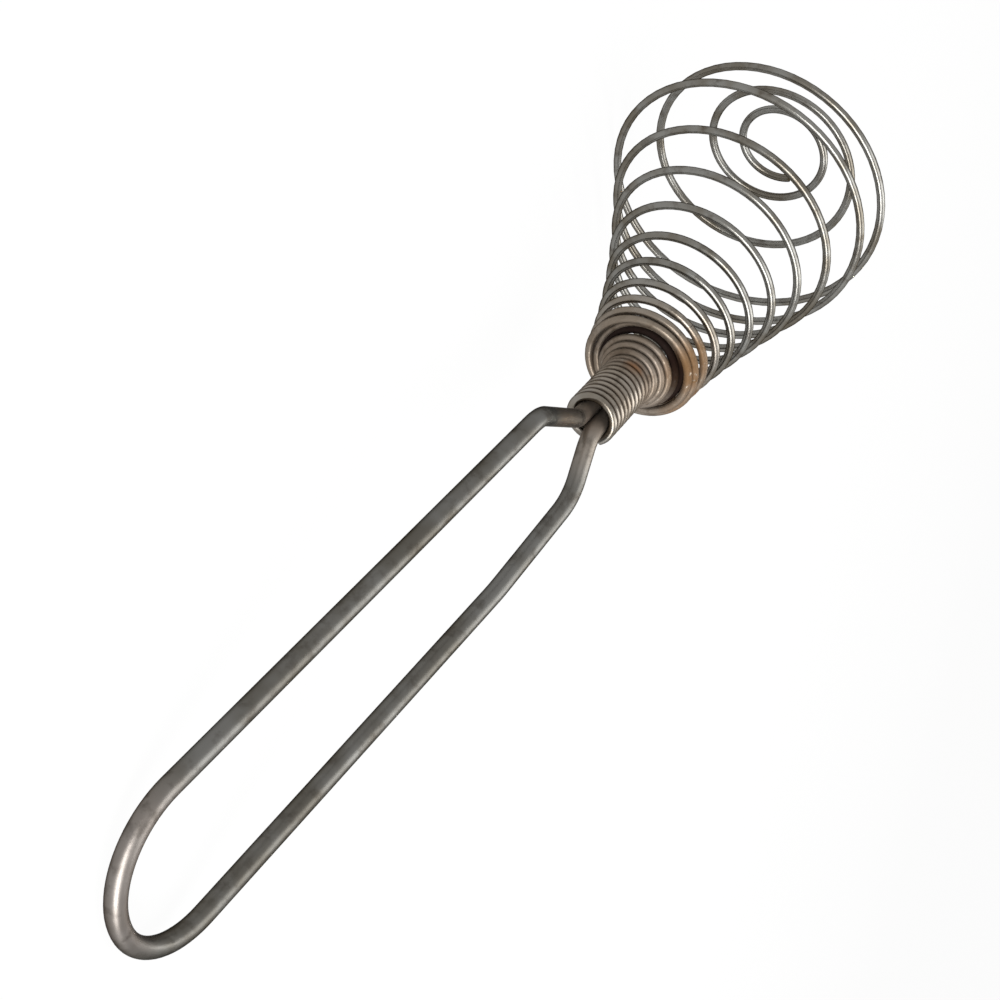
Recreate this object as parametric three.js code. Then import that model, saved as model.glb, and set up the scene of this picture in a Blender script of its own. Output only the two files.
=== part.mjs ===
import * as THREE from 'three';

// Spiral whisk lying on a table. A thick wire bent to a long open loop is the handle.
// A thin wire is wound tightly round its two ends, flares out below the basket, opens
// into a coil that widens to a belly and closes over the end as a flat spiral.
// Millimetres, +Z up, +X from the handle loop towards the basket.

// Wires
const handleWire = 3.4;
const springWire = 1.6;

// Clear distances
const turnGap = 0.45;
const strandGap = 0.1;
const seatGap = 0.3;
const cutGap = 0.3;

// Handle loop, measured along the handle from the loop end
const handleLength = 105.5;
const leftLoopHalf = 14.3;
const rightLoopStart = 1.8;
const rightLoopHalf = 15.3;
const loopBend = 14.4;
const leftShoulder = 108.4;
const leftShoulderHalf = 13.3;
const rightKnee = 92.7;
const rightKneeHalf = 13.8;
const rightShoulder = 116.3;
const rightShoulderHalf = 11.1;
const leftBend = 7;
const rightBend = 12;
const kneeBend = 40;
const mouthBend = 4;
const leftEntry = -1.6;
const rightEntry = -2.3;
const strandTurn = -51.2;

// Neck winding
const neckLength = 21.3;
const neckYaw = -11.2;
const neckRise = 2.8;
const bendBehindMouth = 22.8;
const bendAside = -1.3;
const flareTurns = 3;
const flareLength = 5.1;
const baseAside = -0.4;
const leanFrom = -3;
const leanTurns = 8;

// Basket coil and end spiral
const basketYaw = 1.5;
const basketRise = 4.1;
const startAngle = 315.2;
const baseRadius = 10.1;
const basePitch = 2.25;
const bellyRadius = 28.4;
const bellyHeight = 53.4;
const basketTurns = 10.27;
const swell = 1.42;
const crownTurns = 3.33;
const crownHeight = 13.8;
const crownEase = 2.2;
const crownBend = 0.74;
const eyeRadius = 7.4;
const endTurn = 13.42;
const spiralStart = 0.75;
const bowSide = 9.9;
const bowUp = 1.2;
const crownSide = -1.1;
const crownUp = 1.4;

// Facets
const handleSides = 10;
const springSides = 6;
const neckSteps = 16;
const coilSteps = 20;
const bendStep = 11;
const longestBendChord = 60;

// Sampling of the gap that each stretch of thin wire keeps to itself
const gapSteps = 60;
const neighbourDiameters = 5;

// Sizes that follow
const turnPitch = springWire + turnGap;
const strandOffset = handleWire / 2 + strandGap / 2;
const neckRadius = strandOffset + handleWire / 2 + seatGap + springWire / 2;
const neckTurns = Math.floor((neckLength - flareLength - springWire / 2) / turnPitch * 4) / 4;
const endPitch = 2 * bellyHeight / basketTurns - basePitch;
const basketHeight = bellyHeight + crownHeight;
const firstTurn = -flareTurns - neckTurns;

const rad = THREE.MathUtils.degToRad;
const up = new THREE.Vector3(0, 0, 1);

function direction(yaw, rise) {
  const flat = Math.cos(rad(rise));
  return new THREE.Vector3(flat * Math.cos(rad(yaw)), flat * Math.sin(rad(yaw)), Math.sin(rad(rise)));
}

const neckAxis = direction(neckYaw, neckRise);
const basketAxis = direction(basketYaw, basketRise);

// Radius and height of the thin wire over the basket's base, by turn number
function profile(turn) {
  if (turn <= -flareTurns) {
    return { radius: neckRadius, height: -flareLength + (turn + flareTurns) * turnPitch };
  }
  if (turn <= 0) {
    const share = turn / flareTurns + 1;
    return {
      radius: neckRadius + (baseRadius - neckRadius) * share,
      height: flareLength * (share - 1),
    };
  }
  if (turn <= basketTurns) {
    const height = basePitch * turn + (endPitch - basePitch) * turn * turn / (2 * basketTurns);
    const share = Math.pow(height / bellyHeight, swell);
    return { radius: baseRadius + (bellyRadius - baseRadius) * share, height };
  }
  const share = (turn - basketTurns) / crownTurns;
  const fall = Math.cos(Math.PI * Math.pow(share, crownBend) / 2) ** 2;
  return {
    radius: eyeRadius + (bellyRadius - eyeRadius) * fall,
    height: bellyHeight + crownHeight * (1 - Math.pow(Math.max(1 - share, 0), crownEase)),
  };
}

// One point of the thin wire, with the direction from the coil's axis to it. Origin: neck mouth.
function wirePoint(turn) {
  const { radius, height } = profile(turn);
  const lean = THREE.MathUtils.smoothstep(turn, leanFrom, leanFrom + leanTurns);
  const axis = neckAxis.clone().lerp(basketAxis, lean).normalize();
  const side = up.clone().cross(axis).normalize();
  const rise = axis.clone().cross(side);
  const angle = rad(startAngle) - 2 * Math.PI * turn;
  const outward = side.clone().multiplyScalar(Math.cos(angle)).addScaledVector(rise, Math.sin(angle));
  const flare = THREE.MathUtils.clamp(turn / flareTurns + 1, 0, 1);
  const crown = THREE.MathUtils.clamp((turn - basketTurns) / crownTurns, 0, 1);
  const above = Math.max(height, 0);
  const bow = (above / basketHeight) ** 2;
  const centre = neckAxis.clone().multiplyScalar(neckLength + Math.min(height, 0));
  centre.addScaledVector(basketAxis, above);
  centre.addScaledVector(side, baseAside * flare + bowSide * bow + crownSide * crown);
  centre.addScaledVector(rise, bowUp * bow + crownUp * crown);
  return { point: centre.addScaledVector(outward, radius), outward };
}

function coilStretch(from, to, steps) {
  const count = Math.max(2, Math.ceil((to - from) * steps));
  return Array.from({ length: count + 1 }, (_, i) => wirePoint(from + (to - from) * i / count));
}

// Share of a turn that half the cut between two stretches takes
function halfCut(turn) {
  return cutGap / 2 / (2 * Math.PI * profile(turn).radius);
}

// Corner points joined by straight lines, each inner corner rounded by an arc
function roundedPath(corners, step) {
  const path = [corners[0].at.clone()];
  for (let i = 1; i < corners.length - 1; i += 1) {
    const { at, bend } = corners[i];
    const toPrevious = corners[i - 1].at.clone().sub(at).normalize();
    const toNext = corners[i + 1].at.clone().sub(at).normalize();
    const turned = Math.PI - toPrevious.angleTo(toNext);
    const reach = bend * Math.tan(turned / 2);
    const middle = toPrevious.clone().add(toNext).normalize();
    const centre = at.clone().addScaledVector(middle, bend / Math.cos(turned / 2));
    const first = at.clone().addScaledVector(toPrevious, reach).sub(centre);
    const spin = new THREE.Vector3().crossVectors(first, at.clone().sub(centre)).normalize();
    const count = Math.max(2, Math.ceil(turned / step));
    for (let k = 0; k <= count; k += 1) {
      path.push(centre.clone().add(first.clone().applyAxisAngle(spin, turned * k / count)));
    }
  }
  path.push(corners[corners.length - 1].at.clone());
  return path;
}

function tangentAt(path, i) {
  const before = path[Math.max(i - 1, 0)];
  const after = path[Math.min(i + 1, path.length - 1)];
  return after.clone().sub(before).normalize();
}

// Section directions carried along a path without twist from one point of it
function carriedFrames(path, start, first) {
  const frames = [];
  frames[start] = first.clone();
  for (const way of [1, -1]) {
    for (let i = start + way; i >= 0 && i < path.length; i += way) {
      const turn = new THREE.Quaternion();
      turn.setFromUnitVectors(tangentAt(path, i - way), tangentAt(path, i));
      frames[i] = frames[i - way].clone().applyQuaternion(turn);
    }
  }
  return frames;
}

// A closed round wire along a path
function wireGeometry(path, frames, diameter, sides) {
  const positions = [];
  const index = [];
  path.forEach((point, i) => {
    const tangent = tangentAt(path, i);
    const out = frames[i].clone().addScaledVector(tangent, -frames[i].dot(tangent)).normalize();
    const across = tangent.clone().cross(out);
    for (let j = 0; j < sides; j += 1) {
      const angle = 2 * Math.PI * (j + 0.5) / sides;
      const rim = point.clone().addScaledVector(out, diameter / 2 * Math.cos(angle));
      rim.addScaledVector(across, diameter / 2 * Math.sin(angle));
      positions.push(rim.x, rim.y, rim.z);
    }
  });
  const last = path.length - 1;
  for (let j = 0; j < sides; j += 1) {
    const k = (j + 1) % sides;
    for (let i = 0; i < last; i += 1) {
      const a = i * sides;
      const b = a + sides;
      index.push(a + j, a + k, b + j, a + k, b + k, b + j);
    }
    const centre = path.length * sides;
    index.push(centre, k, j, centre + 1, last * sides + j, last * sides + k);
  }
  for (const end of [path[0], path[last]]) {
    positions.push(end.x, end.y, end.z);
  }
  const geometry = new THREE.BufferGeometry();
  geometry.setAttribute('position', new THREE.Float32BufferAttribute(positions, 3));
  geometry.setIndex(index);
  geometry.computeVertexNormals();
  return geometry;
}

// Least distance from a wire's surface to itself, away from its own neighbourhood
function leastSelfGap(points, diameter) {
  const along = [0];
  for (let i = 1; i < points.length; i += 1) {
    along.push(along[i - 1] + points[i].distanceTo(points[i - 1]));
  }
  let least = Infinity;
  for (let i = 0; i < points.length; i += 1) {
    for (let j = i + 1; j < points.length; j += 1) {
      if (along[j] - along[i] > neighbourDiameters * diameter) {
        least = Math.min(least, points[i].distanceTo(points[j]));
      }
    }
  }
  return least - diameter;
}

const thin = new THREE.MeshStandardMaterial({ name: 'spring_steel', color: 0x777672 });
thin.metalness = 1;
thin.roughness = 0.42;
const thick = new THREE.MeshStandardMaterial({ name: 'drawn_steel', color: 0x676561 });
thick.metalness = 1;
thick.roughness = 0.38;

const spiralTurn = basketTurns + spiralStart;
const stretches = [
  { name: 'neck_winding', from: firstTurn, to: -halfCut(0), steps: neckSteps },
  { name: 'basket_coil', from: halfCut(0), to: spiralTurn - halfCut(spiralTurn), steps: coilSteps },
  { name: 'end_spiral', from: spiralTurn + halfCut(spiralTurn), to: endTurn, steps: coilSteps },
];

const part = new THREE.Group();
part.name = 'spiral_whisk';

let lowest = Infinity;
for (const { name, from, to, steps } of stretches) {
  const samples = coilStretch(from, to, steps);
  const path = samples.map((sample) => sample.point);
  const frames = samples.map((sample) => sample.outward);
  const mesh = new THREE.Mesh(wireGeometry(path, frames, springWire, springSides), thin);
  mesh.name = name;
  mesh.geometry.computeBoundingBox();
  lowest = Math.min(lowest, mesh.geometry.boundingBox.min.z);
  part.add(mesh);
  const fine = coilStretch(from, to, gapSteps).map((sample) => sample.point);
  console.log(`${name} least gap to itself ${leastSelfGap(fine, springWire).toFixed(2)} mm`);
}

// The handle slopes down from behind the mouth until its loop end rests on the table
const bendPoint = neckAxis.clone().multiplyScalar(-bendBehindMouth);
bendPoint.y += bendAside;
const drop = bendPoint.z - lowest - handleWire / 2 * Math.cos(Math.PI / handleSides);
const handleRise = THREE.MathUtils.radToDeg(Math.asin(drop / handleLength));
const handleAxis = direction(0, handleRise);
const handleSide = new THREE.Vector3(0, 1, 0);
const handleNormal = handleAxis.clone().cross(handleSide);
const loopEnd = bendPoint.clone().addScaledVector(handleAxis, -handleLength);

function handlePoint(along, half) {
  return loopEnd.clone().addScaledVector(handleAxis, along).addScaledVector(handleSide, half);
}

function strandPoint(along, way) {
  const side = up.clone().cross(neckAxis).normalize();
  const rise = neckAxis.clone().cross(side);
  const point = neckAxis.clone().multiplyScalar(along);
  point.addScaledVector(side, way * strandOffset * Math.cos(rad(strandTurn)));
  return point.addScaledVector(rise, way * strandOffset * Math.sin(rad(strandTurn)));
}

const strandEnd = neckLength - flareLength;
const corners = [
  { at: strandPoint(strandEnd, 1) },
  { at: strandPoint(leftEntry, 1), bend: mouthBend },
  { at: handlePoint(leftShoulder, leftShoulderHalf), bend: leftBend },
  { at: handlePoint(0, leftLoopHalf), bend: loopBend },
  { at: handlePoint(rightLoopStart, -rightLoopHalf), bend: loopBend },
  { at: handlePoint(rightKnee, -rightKneeHalf), bend: kneeBend },
  { at: handlePoint(rightShoulder, -rightShoulderHalf), bend: rightBend },
  { at: strandPoint(rightEntry, -1), bend: mouthBend },
  { at: strandPoint(strandEnd, -1) },
];
const handlePath = roundedPath(corners, rad(bendStep));
const legStart = handlePath.findIndex(
  (point, i) => i > 0 && point.distanceTo(handlePath[i - 1]) > longestBendChord,
);
const handleFrames = carriedFrames(handlePath, legStart, handleNormal.clone().negate());
const handle = new THREE.Mesh(wireGeometry(handlePath, handleFrames, handleWire, handleSides), thick);
handle.name = 'handle_wire';
part.add(handle);

// Origin under the middle of the part, on the table
const box = new THREE.Box3().setFromObject(part);
const middle = box.getCenter(new THREE.Vector3());
for (const mesh of part.children) {
  mesh.geometry.translate(-middle.x, -middle.y, -box.min.z);
}

export default part;
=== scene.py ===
import math

import bpy
from mathutils import Matrix, Vector


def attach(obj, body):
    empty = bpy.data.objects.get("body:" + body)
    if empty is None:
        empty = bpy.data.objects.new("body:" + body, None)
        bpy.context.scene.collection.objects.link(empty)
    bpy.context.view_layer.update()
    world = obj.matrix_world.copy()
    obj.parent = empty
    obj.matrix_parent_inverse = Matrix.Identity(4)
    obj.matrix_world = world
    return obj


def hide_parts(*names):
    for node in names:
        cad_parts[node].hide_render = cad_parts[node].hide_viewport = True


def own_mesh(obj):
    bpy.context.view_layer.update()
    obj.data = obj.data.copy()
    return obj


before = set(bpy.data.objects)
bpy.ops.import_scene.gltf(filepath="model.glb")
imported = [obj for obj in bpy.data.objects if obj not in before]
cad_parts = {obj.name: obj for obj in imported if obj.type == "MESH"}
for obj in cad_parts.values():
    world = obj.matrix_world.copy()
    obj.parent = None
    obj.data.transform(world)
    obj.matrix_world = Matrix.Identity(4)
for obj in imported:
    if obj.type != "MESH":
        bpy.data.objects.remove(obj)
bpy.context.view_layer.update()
mm = 0.001

# where the whisk lies: the neck's mouth and the three directions, in mm and degrees
pose = {
    "mouth": (18.95, -2.19, 22.96),
    "neckYaw": -11.2,
    "neckRise": 2.8,
    "neckLength": 21.3,
    "basketYaw": 1.5,
    "basketRise": 4.1,
    "handleRise": 11.06,
    "startAngle": 315.2,  # of the thin wire at the first base ring
}


def direction(yaw, rise):
    flat = math.cos(math.radians(rise))
    return Vector((
        flat * math.cos(math.radians(yaw)),
        flat * math.sin(math.radians(yaw)),
        math.sin(math.radians(rise)),
    ))


mouth = Vector(pose["mouth"])
upward = Vector((0, 0, 1))
neckAxis = direction(pose["neckYaw"], pose["neckRise"])
basketAxis = direction(pose["basketYaw"], pose["basketRise"])


def hexColour(text):
    def toLinear(value):
        if value <= 0.04045:
            return value / 12.92
        return ((value + 0.055) / 1.055) ** 2.4

    parts = [int(text[i:i + 2], 16) / 255 for i in (1, 3, 5)]
    return (*[toLinear(value) for value in parts], 1.0)


# adds a node, sets its properties, then fills or links its inputs, which go by name or by
# order; a node given as an input stands for its first output
def addNode(tree, kind, settings=None, inputs=()):
    node = tree.nodes.new(kind)
    for name, value in (settings or {}).items():
        setattr(node, name, value)
    named = inputs if isinstance(inputs, dict) else dict(enumerate(inputs))
    for name, value in named.items():
        if isinstance(value, bpy.types.Node):
            value = value.outputs[0]
        if isinstance(value, bpy.types.NodeSocket):
            tree.links.new(value, node.inputs[name])
        else:
            node.inputs[name].default_value = value
    return node


# short words for the kinds of node and the settings that come up again and again
maths = "ShaderNodeMath"
vectors = "ShaderNodeVectorMath"
mapRange = "ShaderNodeMapRange"
plus = {"operation": "ADD"}
minus = {"operation": "SUBTRACT"}
times = {"operation": "MULTIPLY"}
timesPlus = {"operation": "MULTIPLY_ADD"}
over = {"operation": "DIVIDE"}
toPower = {"operation": "POWER"}
lower = {"operation": "MINIMUM"}
higher = {"operation": "MAXIMUM"}
sine = {"operation": "SINE"}
cosine = {"operation": "COSINE"}
stretch = {"operation": "SCALE"}
unit = {"operation": "NORMALIZE"}
cross = {"operation": "CROSS_PRODUCT"}
evenly = {"interpolation_type": "LINEAR", "clamp": True}
smoothly = {"interpolation_type": "SMOOTHSTEP"}


# a geometry tree with the named number inputs of one piece
def newTree(name, sizes):
    tree = bpy.data.node_groups.new(name, "GeometryNodeTree")
    tree.is_modifier = True
    tree.interface.new_socket("Geometry", in_out="INPUT", socket_type="NodeSocketGeometry")
    for label in sizes:
        tree.interface.new_socket(label, in_out="INPUT", socket_type="NodeSocketFloat")
    tree.interface.new_socket("Material", in_out="INPUT", socket_type="NodeSocketMaterial")
    tree.interface.new_socket("Geometry", in_out="OUTPUT", socket_type="NodeSocketGeometry")
    return tree, addNode(tree, "NodeGroupInput").outputs


# round wire along a curve given in mm
def sweepWire(tree, size, curve):
    halfWire = addNode(tree, maths, times, (size["Wire diameter"], 0.5))
    section = addNode(tree, "GeometryNodeCurvePrimitiveCircle", {"mode": "RADIUS"}, {
        "Resolution": size["Sides"], "Radius": halfWire})
    tube = addNode(tree, "GeometryNodeCurveToMesh", inputs={
        "Curve": curve, "Profile Curve": section, "Fill Caps": True})
    # the round side is made of four-cornered faces, and only the flat ends have more corners
    corners = addNode(tree, "GeometryNodeInputMeshFaceNeighbors").outputs["Vertex Count"]
    rounded = addNode(tree, "FunctionNodeCompare", {"data_type": "INT", "operation": "EQUAL"}, {
        2: corners, 3: 4})
    smooth = addNode(tree, "GeometryNodeSetShadeSmooth", inputs={
        "Geometry": tube, "Shade Smooth": rounded})
    metres = addNode(tree, "GeometryNodeTransform", inputs={
        "Geometry": smooth, "Scale": (mm, mm, mm)})
    real = addNode(tree, "GeometryNodeRealizeInstances", inputs={"Geometry": metres})
    painted = addNode(tree, "GeometryNodeSetMaterial", inputs={
        "Geometry": real, "Material": size["Material"]})
    addNode(tree, "NodeGroupOutput", inputs={"Geometry": painted})


# runs a tree on a mesh and leaves a plain mesh object
def bakeTree(name, tree, sizes, material, source=None):
    carrier = bpy.data.objects.new(name + "Carrier", source or bpy.data.meshes.new(name + "Carrier"))
    bpy.context.scene.collection.objects.link(carrier)
    modifier = carrier.modifiers.new(name, "NODES")
    modifier.node_group = tree
    for item in tree.interface.items_tree:
        if item.in_out == "INPUT" and item.name in sizes:
            modifier[item.identifier] = float(sizes[item.name])
        elif item.in_out == "INPUT" and item.name == "Material":
            modifier[item.identifier] = material
    depsgraph = bpy.context.evaluated_depsgraph_get()
    mesh = bpy.data.meshes.new_from_object(
        carrier.evaluated_get(depsgraph), preserve_all_data_layers=True, depsgraph=depsgraph)
    carrier.modifiers.remove(modifier)
    bpy.data.objects.remove(carrier)
    mesh.name = name
    piece = bpy.data.objects.new(name, mesh)
    bpy.context.scene.collection.objects.link(piece)
    print(name, len(mesh.vertices), "vertices")
    return piece


# drawn steel wire: grey metal with a soft sheen that darkens at grazing angles. Use has left
# brown film in patches, grime, small pits and dents, and the lighter places are painted light, partly
# wear.
# Rust, and painted shade drawn as dark dirt in the gap and grooves, cover the metal, so they look dull
# and brown
def drawnSteel(name, look):
    material = bpy.data.materials.new(name)
    material.use_nodes = True
    tree = material.node_tree
    shader = tree.nodes["Principled BSDF"]
    shader.inputs["Metallic"].default_value = 1.0
    shader.inputs["Specular Tint"].default_value = hexColour(look["edge"])
    shader.inputs["Specular IOR Level"].default_value = look["rustGloss"]
    place = addNode(tree, "ShaderNodeTexCoord").outputs["Object"]

    # nothing out of reach of a spot, and the spot's whole share inside its core
    def near(spot):
        away = addNode(tree, vectors, {"operation": "DISTANCE"}, (place, Vector(spot["at"]) * mm))
        reach = spot["reachMm"] * mm
        return addNode(tree, mapRange, smoothly, {
            "Value": away.outputs["Value"], "From Min": reach, "From Max": reach * spot["core"],
            "To Max": spot["share"]})

    grain = {}
    for mark, (sizeMm, detail) in look["grains"].items():
        grain[mark] = addNode(tree, "ShaderNodeTexNoise", inputs={
            "Vector": place, "Scale": 1 / (sizeMm * mm), "Detail": detail,
            "Roughness": look["grainRoughness"]})
    patches = {}
    for mark, (start, full, share) in look["patches"].items():
        patches[mark] = addNode(tree, mapRange, smoothly, {
            "Value": grain[mark], "From Min": start, "From Max": full, "To Max": share})

    # rust, and painted shade drawn as dark dirt, which hide the metal
    rustDirtAndShade = []
    for spot in look["rustSpots"]:
        rustDirtAndShade.append((addNode(tree, maths, times, (near(spot), patches["rust"])), spot["colour"]))
    # painted shade by turn, drawn as dark dirt
    for paintedShadeAndDirt in look["paintedShadeAndDirt"]:
        turn = addNode(tree, "ShaderNodeAttribute", {"attribute_name": "turn"}).outputs["Fac"]
        first, full, fading, last = paintedShadeAndDirt["turns"]
        coming = addNode(tree, mapRange, smoothly, (turn, first, full))
        going = addNode(tree, mapRange, smoothly, (turn, last, fading))
        along = addNode(tree, maths, times, (coming, going))
        shadeAndDirtShare = paintedShadeAndDirt["share"]
        # painted shade where the neck's turns touch, partly packed dirt
        if "groove" in paintedShadeAndDirt:  # only where touching turns of the neck face each other
            grooveStart, grooveFull = paintedShadeAndDirt["groove"]
            facing = addNode(tree, "ShaderNodeNewGeometry").outputs["Normal"]
            facing = addNode(tree, vectors, {"operation": "DOT_PRODUCT"}, (facing, neckAxis))
            facing = addNode(tree, maths, {"operation": "ABSOLUTE"}, (facing.outputs["Value"],))
            shadeAndDirtShare = addNode(tree, mapRange, smoothly, {
                "Value": facing, "From Min": grooveStart, "From Max": grooveFull,
                "To Max": paintedShadeAndDirt["share"]})
        rustDirtAndShade.append((addNode(tree, maths, times, (shadeAndDirtShare, along)), paintedShadeAndDirt["colour"]))

    layers = [(patches["film"], look["film"])]
    # painted light: lighter steel in places, partly wear
    layers += [(near(spot), spot["colour"]) for spot in look["paintedLightAndWear"]]
    layers += [(patches["grime"], look["grime"])] + rustDirtAndShade
    colour = hexColour(look["steel"])
    for layer, tone in layers:
        colour = addNode(tree, "ShaderNodeMix", {"data_type": "RGBA"}, {
            0: layer, 6: colour, 7: hexColour(tone)}).outputs[2]  # its colour sockets
    dull = addNode(tree, maths, timesPlus, (grain["sheen"], look["roughSpan"], look["roughLow"]))
    bare = 1.0
    for hiding, tone in rustDirtAndShade:
        dull = addNode(tree, maths, timesPlus, (hiding, look["rustDull"], dull))
        metalShows = addNode(tree, maths, minus, (1.0, hiding))
        bare = addNode(tree, maths, lower, (bare, metalShows))
    relief = addNode(tree, maths, times, (grain["pits"], look["pitDepthMm"] * mm))
    for dent in look["dents"]:
        relief = addNode(tree, maths, timesPlus, (near(dent), -look["dentDepthMm"] * mm, relief))
    bump = addNode(tree, "ShaderNodeBump", inputs={"Height": relief, "Distance": 1.0})
    tree.links.new(colour, shader.inputs["Base Color"])
    tree.links.new(dull.outputs[0], shader.inputs["Roughness"])
    tree.links.new(bare.outputs[0], shader.inputs["Metallic"])
    tree.links.new(bump.outputs[0], shader.inputs["Normal"])
    return material


handleLook = {
    "steel": "#6a6966",
    "film": "#57544e",
    "grime": "#403b35",
    "edge": "#55504a",  # reflection at grazing angles
    "grains": {  # size in mm and fineness; real pits are smaller, drawn coarse enough to show
        "film": (14.0, 3),
        "grime": (2.6, 4),
        "sheen": (2.6, 3),
        "rust": (0.8, 3),
        "pits": (0.5, 2),
    },
    "grainRoughness": 0.6,
    "patches": {  # grain at which each starts and is full, and how much of it then covers
        "film": (0.38, 0.66, 1.0),
        "grime": (0.5, 0.72, 0.5),
        "rust": (0.2, 0.45, 1.0),
    },
    "roughLow": 0.28,
    "roughSpan": 0.24,
    "pitDepthMm": 0.006,
    "rustDull": 0.22,
    "rustGloss": 0.15,
    "rustSpots": [
        {"at": (20.5, -2.5, 23.0), "reachMm": 6.5, "core": 0.4, "share": 0.5, "colour": "#6b5a4a"},
    ],
    "paintedShadeAndDirt": [],
    "paintedLightAndWear": [
        # painted light: lighter steel at the loop's end, partly wear from handling
        {"at": (-104.0, 8.0, 3.0), "reachMm": 20.0, "core": 0.4, "share": 0.5, "colour": "#8f8782"},
        # painted light: lighter, warmer steel on the strand into the mouth
        {"at": (12.0, 4.0, 22.7), "reachMm": 13.0, "core": 0.5, "share": 0.5, "colour": "#8f8377"},
    ],
    "dentDepthMm": 0.05,
    "dents": [
        {"at": (-100.1, 14.4, 2.8), "reachMm": 0.7, "core": 0.1, "share": 1.0},
        {"at": (-99.1, -10.8, 4.2), "reachMm": 0.7, "core": 0.1, "share": 1.0},
    ],
}
# the thin wire is the same steel drawn finer: brighter and glossier, with rust at the base
# rings, painted shade drawn as dark dirt in the gap under them and in the neck's grooves, and painted
# light on the neck
springLook = {
    **handleLook,
    "steel": "#7f7e7a",
    "film": "#68635a",
    "grime": "#463f36",
    "grains": {**handleLook["grains"], "film": (9.0, 3)},
    "patches": {**handleLook["patches"], "grime": (0.5, 0.72, 0.55)},
    "roughLow": 0.15,
    "roughSpan": 0.2,
    "paintedLightAndWear": [
        # painted light: lighter steel over the neck and flare
        {"at": (36.0, -5.5, 24.0), "reachMm": 22.0, "core": 0.55, "share": 0.5, "colour": "#968a7d"},
    ],
    "dents": [],
    "rustDull": 0.4,
    "rustSpots": [
        {"at": (41.5, -6.8, 24.2), "reachMm": 14.0, "core": 0.6, "share": 0.4, "colour": "#4a3420"},
        {"at": (42.4, -4.5, 34.9), "reachMm": 8.0, "core": 0.3, "share": 0.65, "colour": "#644213"},
        {"at": (44.6, -14.5, 32.0), "reachMm": 7.0, "core": 0.3, "share": 0.62, "colour": "#644213"},
        {"at": (34.5, -2.2, 25.2), "reachMm": 2.8, "core": 0.3, "share": 0.7, "colour": "#84521f"},
    ],
    # painted shade: the wire darkened in the gap under the base rings and between the neck's turns
    "paintedShadeAndDirt": [  # the turns over which it comes and goes
        # painted shade: near black over the hidden turn in the gap under the base rings
        {"turns": (-1.7, -1.3, -0.36, -0.16), "share": 0.96, "colour": "#170e0d"},
        # painted shade where the neck's turns touch, partly packed dirt
        {"turns": (-14.9, -14.5, -5.4, -4.4), "share": 0.85, "colour": "#34261b", "groove": (0.5, 0.9)},
    ],
}
handleSteel = drawnSteel("drawn steel wire", handleLook)
springSteel = drawnSteel("tarnished spring steel wire", springLook)
print("materials made")

# handle: one thick wire bent to an open loop. A pair is the length from the loop's end and the
# half width there, and the bends are radii
handleShape = {
    "wire": {"Wire diameter": 3.4, "Sides": 28, "Arc steps": 20},
    "length": 105.5,
    "behindMouth": 22.8,
    "aside": -1.3,
    "leftLoop": (0.0, 14.3),
    "rightLoop": (1.8, 15.3),
    "loopBend": 14.4,
    "leftShoulder": (108.4, 13.3),
    "rightKnee": (92.7, 13.8),
    "rightShoulder": (116.3, 11.1),
    "leftBend": 7.0,
    "rightBend": 12.0,
    "kneeBend": 40.0,
    "mouthBend": 6.0,
    "leftEntry": -1.6,
    "rightEntry": -2.3,
    "strandTurn": -51.2,  # degrees about the neck's axis
    "strandOffset": 1.74,
    "strandEnd": 16.2,
}


# the corners of the bent wire, each with the radius of its bend
def handleCorners(shape):
    axis = direction(0, pose["handleRise"])
    bendPoint = mouth - neckAxis * shape["behindMouth"] + Vector((0, shape["aside"], 0))
    loopEnd = bendPoint - axis * shape["length"]
    side = upward.cross(neckAxis).normalized()
    rise = neckAxis.cross(side)
    tilt = math.radians(shape["strandTurn"])
    offset = (side * math.cos(tilt) + rise * math.sin(tilt)) * shape["strandOffset"]

    def leg(corner, way):
        along, half = corner
        return loopEnd + axis * along + Vector((0, half * way, 0))

    def strand(along, way):
        return mouth + neckAxis * along + offset * way

    return [
        (strand(shape["strandEnd"], 1), 0),
        (strand(shape["leftEntry"], 1), shape["mouthBend"]),
        (leg(shape["leftShoulder"], 1), shape["leftBend"]),
        (leg(shape["leftLoop"], 1), shape["loopBend"]),
        (leg(shape["rightLoop"], -1), shape["loopBend"]),
        (leg(shape["rightKnee"], -1), shape["kneeBend"]),
        (leg(shape["rightShoulder"], -1), shape["rightBend"]),
        (strand(shape["rightEntry"], -1), shape["mouthBend"]),
        (strand(shape["strandEnd"], -1), 0),
    ]


def handleTree():
    tree, size = newTree("bent wire", handleShape["wire"])
    path = addNode(tree, "GeometryNodeMeshToCurve", inputs={"Mesh": size["Geometry"]})
    bend = addNode(tree, "GeometryNodeInputNamedAttribute", {"data_type": "FLOAT"}, {"Name": "bend"})
    arcs = addNode(tree, "GeometryNodeFilletCurve", {"mode": "POLY"}, {
        "Curve": path, "Count": size["Arc steps"], "Radius": bend, "Limit Radius": True})
    sweepWire(tree, size, arcs)
    return tree


corners = handleCorners(handleShape)
polyline = bpy.data.meshes.new("handlePath")
polyline.from_pydata([at for at, bend in corners], [(i, i + 1) for i in range(len(corners) - 1)], [])
bends = polyline.attributes.new("bend", "FLOAT", "POINT")
for i, (at, bend) in enumerate(corners):
    bends.data[i].value = bend
handleWire = bakeTree("handleWire", handleTree(), handleShape["wire"], handleSteel, polyline)

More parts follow.
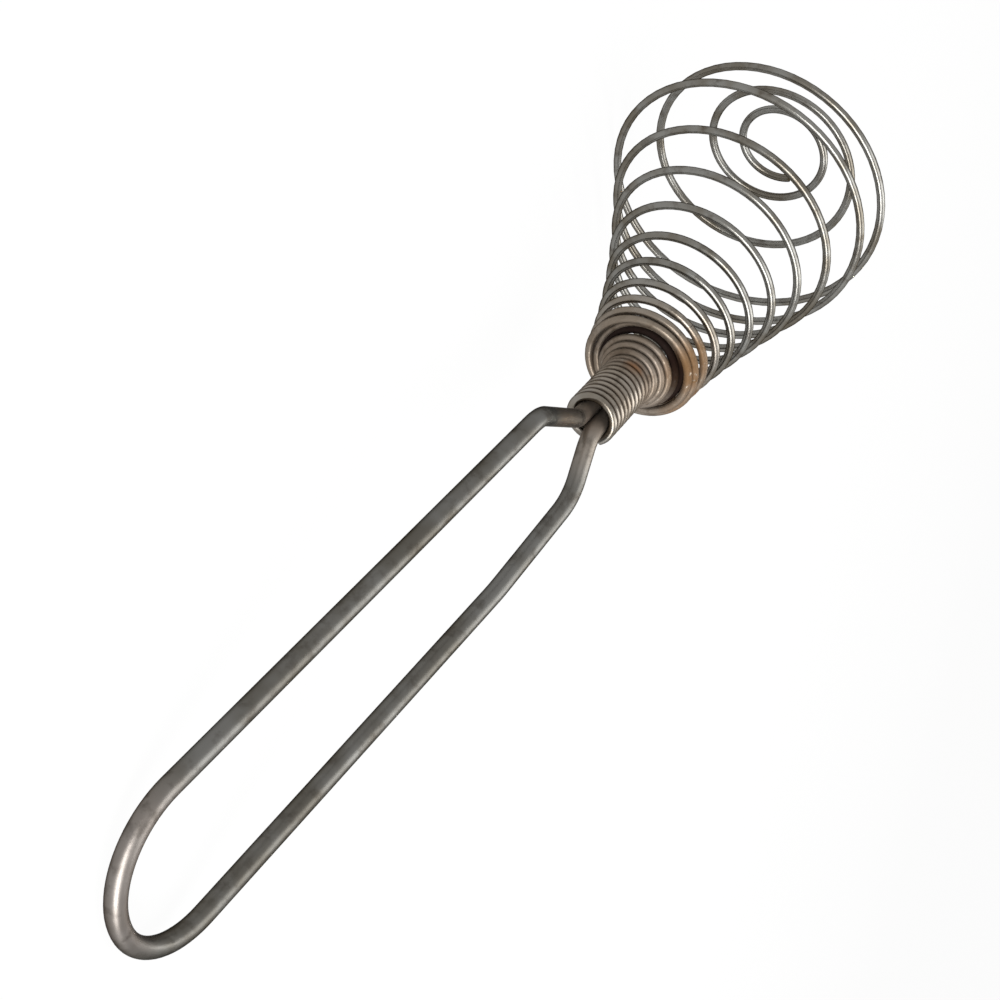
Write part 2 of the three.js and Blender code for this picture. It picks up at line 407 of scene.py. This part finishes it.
# thin wire: turn 0 is the first base ring of the basket, turns below it are flare and neck
coilSizes = {
    "First turn": 0.0,
    "Last turn": 1.0,
    "Steps per turn": 64,
    "Wire diameter": 1.6,
    "Sides": 14,
    "Neck radius": 4.25,
    "Neck pitch": 1.61,
    "Flare radius": 7.2,
    "Flare growth": 0.82,  # mm wider for each turn
    "Flare pitch": 1.42,
    "Flare height": 1.5,
    "Flare end": -1.46,
    "Base start": 0.89,
    "Gap ease": 1.5,
    "Gap bulge": 2.4,
    "Base radius": 10.1,
    "Base aside": -0.4,
    "Aside start": -6.0,
    "Aside end": 0.0,
    "Base pitch": 1.55,
    "Pitch growth": 0.711,  # mm more for each turn
    "Belly radius": 28.4,
    "Belly turn": 10.27,
    "Swell": 1.42,
    "Crown turns": 3.33,
    "Crown height": 13.8,
    "Crown ease": 2.2,
    "Crown bend": 0.74,
    "Crown aside": -1.1,
    "Crown lift": 1.4,
    "Eye radius": 7.4,
    "Lean start": -1.2,
    "Lean end": 4.0,
    "Bow to the side": 9.9,
    "Bow upwards": 1.2,
}
# where the one thin wire is cut into its three pieces
cutTurns = {
    "mouth": -15.55,
    "baseRings": 2.75,
    "spiral": 11.02,
    "end": 13.42,
}


# height of the open coil over the base at a turn
def openHeight(turn):
    return coilSizes["Base pitch"] * turn + coilSizes["Pitch growth"] * turn * turn / 2


coilSizes["Belly height"] = openHeight(coilSizes["Belly turn"])


# radius of the wire and its height over the basket's base at each turn
def wireProfile(tree, size, turn):
    # neck and flare, counted back from the flare's end
    pastFlare = addNode(tree, maths, minus, (turn, size["Flare end"]))
    toEnd = addNode(tree, maths, lower, (pastFlare, 0.0))
    widening = addNode(tree, maths, minus, (size["Flare radius"], size["Neck radius"]))
    flareTurns = addNode(tree, maths, over, (widening, size["Flare growth"]))
    flareStart = addNode(tree, maths, times, (flareTurns, -1.0))
    inFlare = addNode(tree, maths, higher, (toEnd, flareStart))
    pastNeck = addNode(tree, maths, plus, (toEnd, flareTurns))
    inNeck = addNode(tree, maths, lower, (pastNeck, 0.0))
    radius = addNode(tree, maths, timesPlus, (inFlare, size["Flare growth"], size["Flare radius"]))

    # the dark gap, where the wire goes out to the base rings
    gap = addNode(tree, mapRange, evenly, (turn, size["Flare end"], size["Base start"]))
    eased = addNode(tree, maths, toPower, (gap, size["Gap ease"]))
    toBase = addNode(tree, maths, minus, (size["Base radius"], size["Flare radius"]))
    radius = addNode(tree, maths, timesPlus, (eased, toBase, radius))
    gapLeft = addNode(tree, maths, minus, (1.0, gap))
    height = addNode(tree, maths, times, (gapLeft, size["Flare height"]))
    height = addNode(tree, maths, timesPlus, (inFlare, size["Flare pitch"], height))
    height = addNode(tree, maths, timesPlus, (inNeck, size["Neck pitch"], height))
    halfCircle = addNode(tree, maths, times, (gap, math.pi))
    bulge = addNode(tree, maths, sine, (halfCircle,))
    height = addNode(tree, maths, timesPlus, (bulge, size["Gap bulge"], height))

    # the open basket up to its belly
    pastBase = addNode(tree, maths, higher, (turn, 0.0))
    opened = addNode(tree, maths, lower, (pastBase, size["Belly turn"]))
    squared = addNode(tree, maths, times, (opened, opened))
    growth = addNode(tree, maths, times, (squared, size["Pitch growth"]))
    climb = addNode(tree, maths, times, (opened, size["Base pitch"]))
    climb = addNode(tree, maths, timesPlus, (growth, 0.5, climb))
    climbShare = addNode(tree, maths, over, (climb, size["Belly height"]))
    swell = addNode(tree, maths, toPower, (climbShare, size["Swell"]))
    toBelly = addNode(tree, maths, minus, (size["Belly radius"], size["Base radius"]))
    radius = addNode(tree, maths, timesPlus, (swell, toBelly, radius))

    # the crown, which closes over the end
    crownEnd = addNode(tree, maths, plus, (size["Belly turn"], size["Crown turns"]))
    crown = addNode(tree, mapRange, evenly, (turn, size["Belly turn"], crownEnd))
    bent = addNode(tree, maths, toPower, (crown, size["Crown bend"]))
    quarterCircle = addNode(tree, maths, times, (bent, math.pi / 2))
    fall = addNode(tree, maths, sine, (quarterCircle,))
    fall = addNode(tree, maths, toPower, (fall, 2.0))
    toEye = addNode(tree, maths, minus, (size["Eye radius"], size["Belly radius"]))
    radius = addNode(tree, maths, timesPlus, (fall, toEye, radius))
    crownLeft = addNode(tree, maths, minus, (1.0, crown))
    crownLeft = addNode(tree, maths, toPower, (crownLeft, size["Crown ease"]))
    dome = addNode(tree, maths, minus, (1.0, crownLeft))
    dome = addNode(tree, maths, times, (dome, size["Crown height"]))
    height = addNode(tree, maths, plus, (height, climb))
    height = addNode(tree, maths, plus, (height, dome))
    return radius, height, crown


def coilTree():
    tree, size = newTree("wound wire", coilSizes)
    turns = addNode(tree, maths, minus, (size["Last turn"], size["First turn"]))
    count = addNode(tree, maths, times, (turns, size["Steps per turn"]))
    count = addNode(tree, maths, plus, (count, 2.0))  # for both ends
    line = addNode(tree, "GeometryNodeCurvePrimitiveLine", inputs={"Start": (0, 0, 0), "End": (1, 0, 0)})
    points = addNode(tree, "GeometryNodeResampleCurve", inputs={"Curve": line, "Count": count})
    where = addNode(tree, "GeometryNodeInputPosition")
    share = addNode(tree, "ShaderNodeSeparateXYZ", inputs=(where,))
    turn = addNode(tree, maths, timesPlus, (share, turns, size["First turn"]))
    radius, height, crown = wireProfile(tree, size, turn)

    # directions at each turn: the axis leans over from the neck's to the basket's
    lean = addNode(tree, mapRange, smoothly, (turn, size["Lean start"], size["Lean end"]))
    axis = addNode(tree, "ShaderNodeMix", {"data_type": "VECTOR"}, {
        0: lean, 4: neckAxis, 5: basketAxis}).outputs[1]  # its vector sockets
    axis = addNode(tree, vectors, unit, (axis,))
    side = addNode(tree, vectors, cross, (upward, axis))
    side = addNode(tree, vectors, unit, (side,))
    rise = addNode(tree, vectors, cross, (axis, side))
    angle = addNode(tree, maths, timesPlus, (turn, -2 * math.pi, math.radians(pose["startAngle"])))
    across = addNode(tree, maths, cosine, (angle,))
    across = addNode(tree, vectors, stretch, {0: side, "Scale": across})
    upright = addNode(tree, maths, sine, (angle,))
    upright = addNode(tree, vectors, stretch, {0: rise, "Scale": upright})
    outward = addNode(tree, vectors, plus, (across, upright))

    # how far the wire goes in each direction
    below = addNode(tree, maths, lower, (height, 0.0))
    below = addNode(tree, maths, plus, (below, pose["neckLength"]))
    above = addNode(tree, maths, higher, (height, 0.0))
    whole = addNode(tree, maths, plus, (size["Belly height"], size["Crown height"]))
    bow = addNode(tree, maths, over, (above, whole))
    bow = addNode(tree, maths, toPower, (bow, 2.0))
    toSide = addNode(tree, maths, times, (bow, size["Bow to the side"]))
    toSide = addNode(tree, maths, timesPlus, (crown, size["Crown aside"], toSide))
    aside = addNode(tree, mapRange, evenly, (turn, size["Aside start"], size["Aside end"]))
    toSide = addNode(tree, maths, timesPlus, (aside, size["Base aside"], toSide))
    lifted = addNode(tree, maths, times, (bow, size["Bow upwards"]))
    lifted = addNode(tree, maths, timesPlus, (crown, size["Crown lift"], lifted))
    target = mouth
    for way, reach in (
            (neckAxis, below), (basketAxis, above), (side, toSide), (rise, lifted), (outward, radius)):
        step = addNode(tree, vectors, stretch, {0: way, "Scale": reach})
        target = addNode(tree, vectors, plus, (step, target))
    numbered = addNode(tree, "GeometryNodeStoreNamedAttribute", {"data_type": "FLOAT"}, {
        "Geometry": points, "Name": "turn", "Value": turn})
    wound = addNode(tree, "GeometryNodeSetPosition", inputs={"Geometry": numbered, "Position": target})
    sweepWire(tree, size, wound)
    return tree


woundTree = coilTree()


def coilStretch(name, first, last):
    sizes = {**coilSizes, "First turn": first, "Last turn": last}
    return bakeTree(name, woundTree, sizes, springSteel)


neckWinding = coilStretch("neckWinding", cutTurns["mouth"], cutTurns["baseRings"])
basketCoil = coilStretch("basketCoil", cutTurns["baseRings"], cutTurns["spiral"])
endSpiral = coilStretch("endSpiral", cutTurns["spiral"], cutTurns["end"])
print("wires swept")

# each piece follows its body in place of its CAD part, and the basket, which flattens towards its base
# rings by the travel of the end spiral, gets a mesh of its own
for piece, node, body, paint in (
        (handleWire, "handle_wire", "handle", "handle_steel"),
        (neckWinding, "neck_winding", "handle", "spring_steel"),
        (basketCoil, "basket_coil", "handle", "spring_steel"),
        (endSpiral, "end_spiral", "tip", "spring_steel")):
    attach(piece, body)
    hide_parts(node)
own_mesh(basketCoil)
print("pieces joined to the frame")

# white studio: the floor and the world are white to the camera and to reflections, and the
# floor keeps a faint shadow. Lengths in metres
stageLook = {
    "floorHalf": 3.0,
    "floor": "#eeeeec",
    "floorRoughness": 0.9,
    "floorGlow": 0.95,
    "white": "#ffffff",
    "worldLight": 0.35,
    "lampAim": (0, 0, 0.03),
    "lamps": {
        "key": {"place": (0.03, -0.08, 0.62), "watts": 2.0, "size": (0.45, 0.45)},
        "shoulder": {"place": (0.27, -0.27, 0.5), "watts": 0.6, "size": (0.2, 0.2)},
        "farSide": {"place": (0.45, -0.6, 0.5), "watts": 0.9, "size": (0.8, 0.6)},
        "loopEnd": {"place": (-0.85, 0.0, 0.36), "watts": 14.5, "size": (1.3, 0.35)},
    },
}


# 1 for what the camera sees straight, mirrored or through glass
def seenDirectly(tree):
    rays = addNode(tree, "ShaderNodeLightPath").outputs
    seen = addNode(tree, maths, plus, (rays["Is Camera Ray"], rays["Is Glossy Ray"]))
    seen = addNode(tree, maths, plus, (seen, rays["Is Transmission Ray"]))
    return addNode(tree, maths, lower, (seen, 1.0))


# matt white paper: an even white to the eye, with a faint shadow under the whisk
floorPaint = bpy.data.materials.new("white paper sweep")
floorPaint.use_nodes = True
floorTree = floorPaint.node_tree
matt = floorTree.nodes["Principled BSDF"]
matt.inputs["Base Color"].default_value = hexColour(stageLook["floor"])
matt.inputs["Roughness"].default_value = stageLook["floorRoughness"]
glow = addNode(floorTree, "ShaderNodeEmission", inputs={
    "Color": hexColour(stageLook["white"]), "Strength": 1.0})
glowShare = addNode(floorTree, maths, times, (seenDirectly(floorTree), stageLook["floorGlow"]))
blend = addNode(floorTree, "ShaderNodeMixShader", inputs=(glowShare, matt, glow))
floorTree.links.new(blend.outputs[0], floorTree.nodes["Material Output"].inputs["Surface"])
half = stageLook["floorHalf"]
floorCorners = [(-half, -half, 0), (half, -half, 0), (half, half, 0), (-half, half, 0)]
floorMesh = bpy.data.meshes.new("floor")
floorMesh.from_pydata(floorCorners, [], [(0, 1, 2, 3)])
floorMesh.materials.append(floorPaint)
floor = bpy.data.objects.new("floor", floorMesh)
bpy.context.scene.collection.objects.link(floor)

world = bpy.data.worlds.new("studio")
bpy.context.scene.world = world
world.use_nodes = True
sky = world.node_tree.nodes["Background"]
sky.inputs["Color"].default_value = hexColour(stageLook["white"])
brightness = addNode(world.node_tree, mapRange, inputs={
    "Value": seenDirectly(world.node_tree), "To Min": stageLook["worldLight"], "To Max": 1.0})
world.node_tree.links.new(brightness.outputs["Result"], sky.inputs["Strength"])

# soft rectangular lamps
for name, lamp in stageLook["lamps"].items():
    panel = bpy.data.lights.new(name, "AREA")
    panel.shape = "RECTANGLE"
    panel.energy = lamp["watts"]
    panel.size, panel.size_y = lamp["size"]
    holder = bpy.data.objects.new(name, panel)
    holder.location = lamp["place"]
    towards = Vector(stageLook["lampAim"]) - Vector(lamp["place"])
    holder.rotation_euler = towards.to_track_quat("-Z", "Y").to_euler()
    bpy.context.scene.collection.objects.link(holder)

# the photograph's camera, turned so that the handle points down and left; place in mm
view = {
    "place": (-233.36, 224.58, 126.02),
    "right": (0.38819, -0.0552, 0.91993),
    "down": (-0.63178, -0.74267, 0.22203),
    "lens": 72.0,
    "sensor": 36.0,
    "nearest": 10.0,
}
lens = bpy.data.cameras.new("camera")
lens.lens = view["lens"]
lens.sensor_width = view["sensor"]
lens.clip_start = view["nearest"] * mm
camera = bpy.data.objects.new("camera", lens)
right = Vector(view["right"]).normalized()
upInFrame = -Vector(view["down"]).normalized()
back = right.cross(upInFrame).normalized()
upInFrame = back.cross(right)
turned = Matrix((right, upInFrame, back)).transposed().to_4x4()
camera.matrix_world = Matrix.Translation(Vector(view["place"]) * mm) @ turned
bpy.context.scene.collection.objects.link(camera)
bpy.context.scene.camera = camera
bpy.context.scene.view_settings.view_transform = "Standard"
print("stage set")
